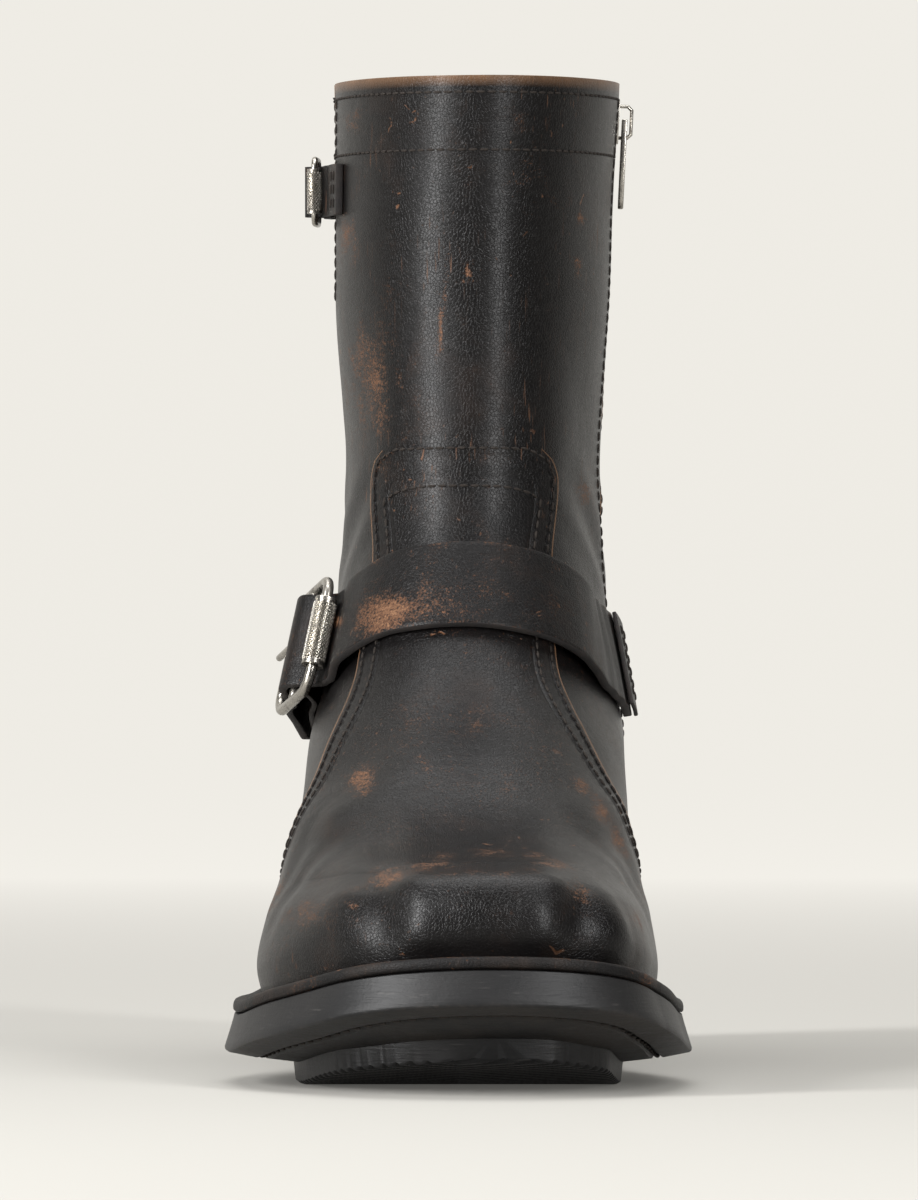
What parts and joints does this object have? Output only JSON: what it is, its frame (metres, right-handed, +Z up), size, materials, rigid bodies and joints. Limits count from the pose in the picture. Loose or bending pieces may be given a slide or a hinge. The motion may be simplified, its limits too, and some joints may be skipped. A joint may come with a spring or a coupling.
{
  "type": "engineer boot",
  "caption": "Right ankle-height engineer boot: open shaft with inner side zip, buckled instep and top straps, tongue vamp, stitched welt, ribbed rubber sole and stacked heel.",
  "frame": {"origin": "on the floor under the middle of the heel lift", "axes": "+Z up, toe towards -Y, inner (medial) side towards +X, outer (lateral) side towards -X"},
  "size_m": [0.1168, 0.304, 0.2552],
  "materials": {
    "black_leather": "oiled black full-grain leather, rubbed brown at the folds",
    "strap_leather": "thick oiled black strap leather with brown rubs",
    "welt_leather": "black-dressed welt leather, scuffed brown",
    "black_rubber": "black ribbed sole rubber, dusty at the edges",
    "insole_leather": "natural tan leather board",
    "nickel": "worn nickel plate, slightly yellowed",
    "zip_tape": "woven black zip tape",
    "dark_brass": "aged zip metal"
  },
  "bodies": {
    "boot": {"upper": "black_leather", "vamp": "black_leather", "top_gusset": "strap_leather", "instep_strap": "strap_leather", "strap_keeper": "strap_leather", "buckle_strap": "strap_leather", "top_strap": "strap_leather", "top_buckle_strap": "strap_leather", "welt": "welt_leather", "outsole": "black_rubber", "heel": "black_rubber", "heel_lift": "black_rubber", "insole": "insole_leather", "buckle_frame": "nickel", "buckle_prong": "nickel", "top_buckle_frame": "nickel", "top_buckle_prong": "nickel", "zip_tape": "zip_tape", "zip_teeth": "dark_brass", "zip_slider": "dark_brass"},
    "instep_roller": {"buckle_roller": "nickel"},
    "top_roller": {"top_buckle_roller": "nickel"},
    "pull": {"zip_pull": "dark_brass"}
  },
  "joints": [
    {"name": "buckle_roller_spin", "type": "hinge", "parent": "boot", "child": "instep_roller", "pos_m": [-0.04004, -0.08522, 0.11177], "axis": [0.1911, 0.3483, 0.9177], "continuous": true},
    {"name": "top_buckle_roller_spin", "type": "hinge", "parent": "boot", "child": "top_roller", "pos_m": [-0.04189, -0.03705, 0.22699], "axis": [-0.0011, 0.0001, 1], "continuous": true},
    {"name": "zip_pull_swing", "type": "hinge", "parent": "boot", "child": "pull", "pos_m": [0.03944, -0.03447, 0.24516], "axis": [0.01, -0.9999, 0.006], "range_deg": [0, 160]}
  ]
}
